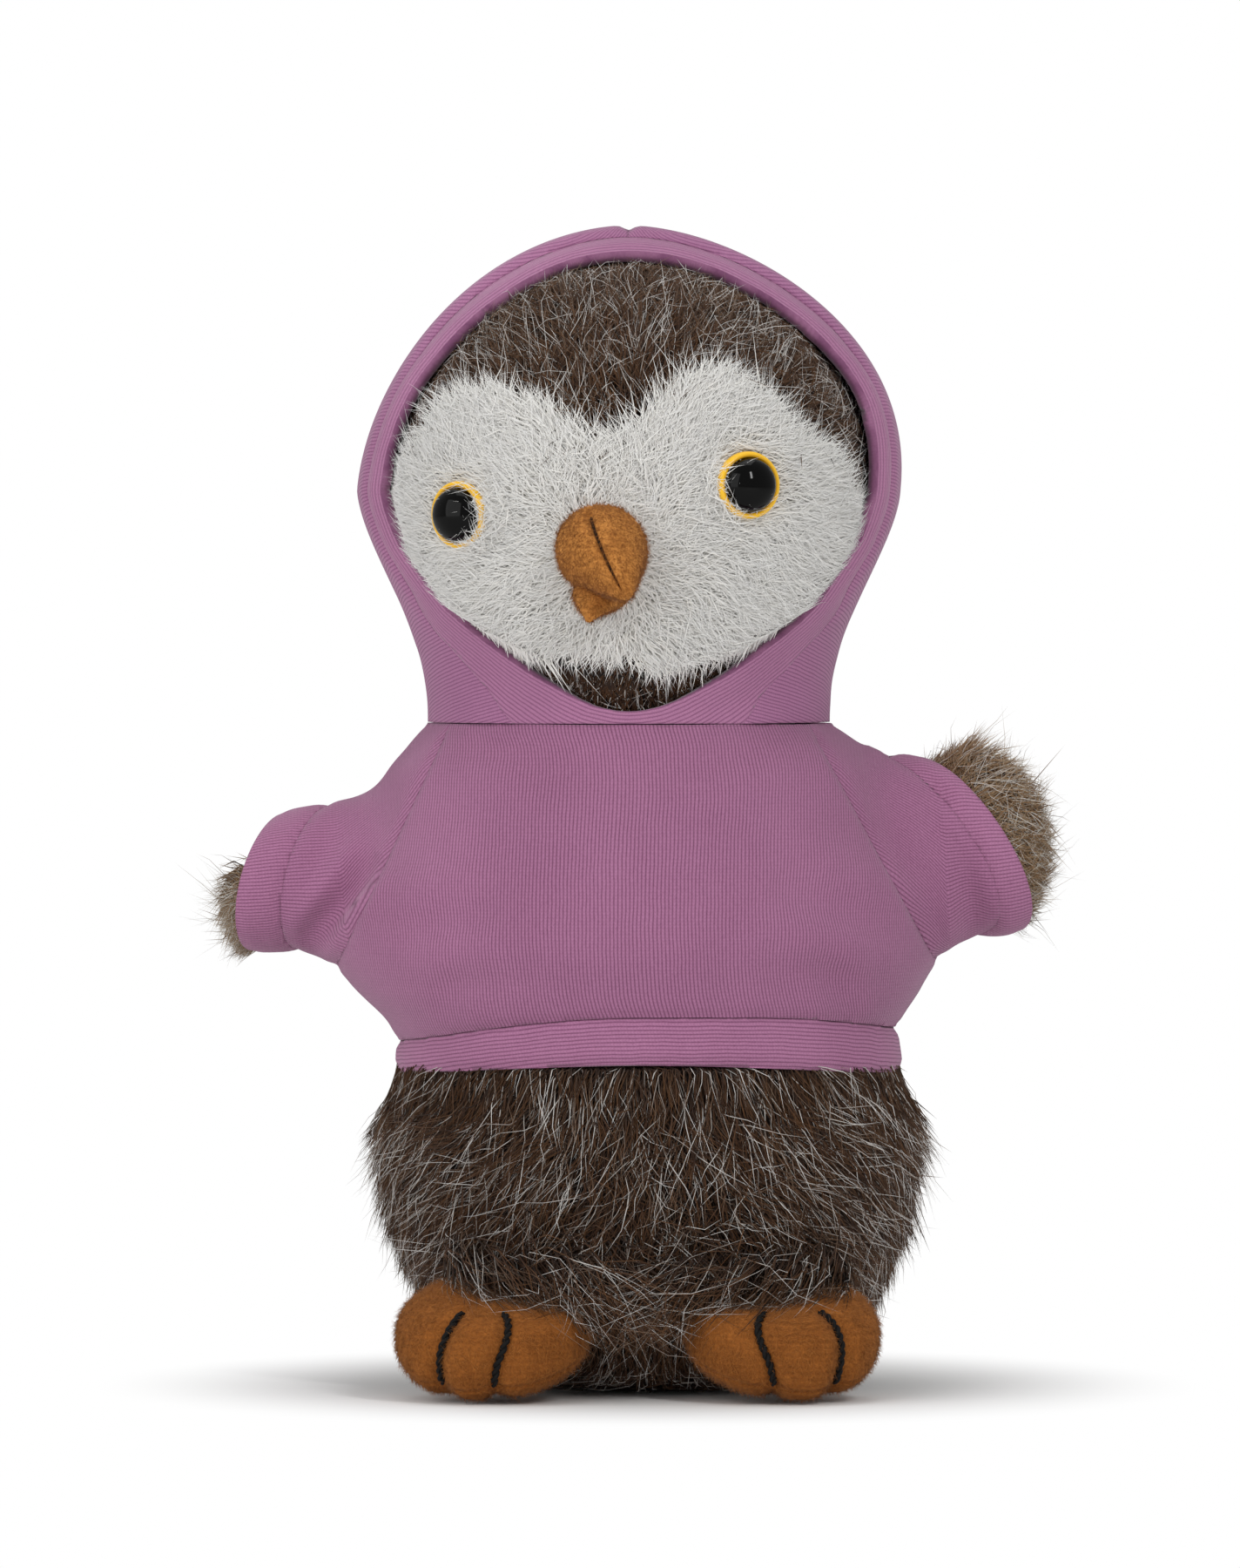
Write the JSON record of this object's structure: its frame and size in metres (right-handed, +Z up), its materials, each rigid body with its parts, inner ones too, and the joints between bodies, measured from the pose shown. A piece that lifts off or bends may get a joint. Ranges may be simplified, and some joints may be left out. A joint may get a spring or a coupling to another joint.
{
  "type": "plush owl",
  "caption": "Small standing plush owl with a white face, glass-look eyes, a felt beak and feet, wearing a hooded sweatshirt; the head turns and the wings flap.",
  "frame": {"origin": "centre of the flat face under the body, on the surface the owl stands on", "axes": "+Z up, the face looks along -Y, +X to the right seen from the front"},
  "size_m": [0.1267, 0.0885, 0.1747],
  "materials": {
    "brown_plush": "long frosted pile",
    "white_plush": "short fluffy pile",
    "velour": "short napped velour",
    "thread": "twisted black thread",
    "knit": "jersey knit",
    "rib_knit": "folded jersey hem",
    "filling": "fibre filling",
    "pouch": "woven bag of pellets",
    "eye_yellow": "glossy",
    "eye_black": "polished",
    "washer": "moulded"
  },
  "bodies": {
    "torso": {"body_skin": "brown_plush", "body_filling": "filling", "pellet_pouch": "pouch", "left_foot": "velour", "left_foot_stitch_inner": "thread", "left_foot_stitch_outer": "thread", "right_foot": "velour", "right_foot_stitch_inner": "thread", "right_foot_stitch_outer": "thread", "hoodie_front": "knit", "hoodie_back": "knit", "waistband": "rib_knit"},
    "head": {"head_skin": "brown_plush", "face_panel": "white_plush", "head_filling": "filling", "left_eye_base": "eye_yellow", "left_eye_pupil": "eye_black", "left_eye_washer": "washer", "right_eye_base": "eye_yellow", "right_eye_pupil": "eye_black", "right_eye_washer": "washer", "upper_beak": "velour", "lower_beak": "velour", "hood_left": "knit", "hood_right": "knit", "hood_hem": "rib_knit"},
    "left_wing": {"left_wing": "brown_plush", "left_sleeve": "knit", "left_cuff": "rib_knit"},
    "right_wing": {"right_wing": "brown_plush", "right_sleeve": "knit", "right_cuff": "rib_knit"}
  },
  "joints": [
    {"name": "head_turn", "type": "hinge", "parent": "torso", "child": "head", "pos_m": [-0.003, 0, 0.1], "axis": [0, 0, 1], "range_deg": [-15, 15], "stiffness_Nm_per_rad": 0.05},
    {"name": "left_wing_flap", "type": "hinge", "parent": "torso", "child": "left_wing", "pos_m": [-0.03798, 0, 0.077], "axis": [0, 1, 0], "range_deg": [-10, 20], "stiffness_Nm_per_rad": 0.02, "deforming": ["left_sleeve"]},
    {"name": "right_wing_flap", "type": "hinge", "parent": "torso", "child": "right_wing", "pos_m": [0.03634, 0, 0.0805], "axis": [0, -1, 0], "range_deg": [-10, 20], "stiffness_Nm_per_rad": 0.02, "deforming": ["right_sleeve"]}
  ]
}
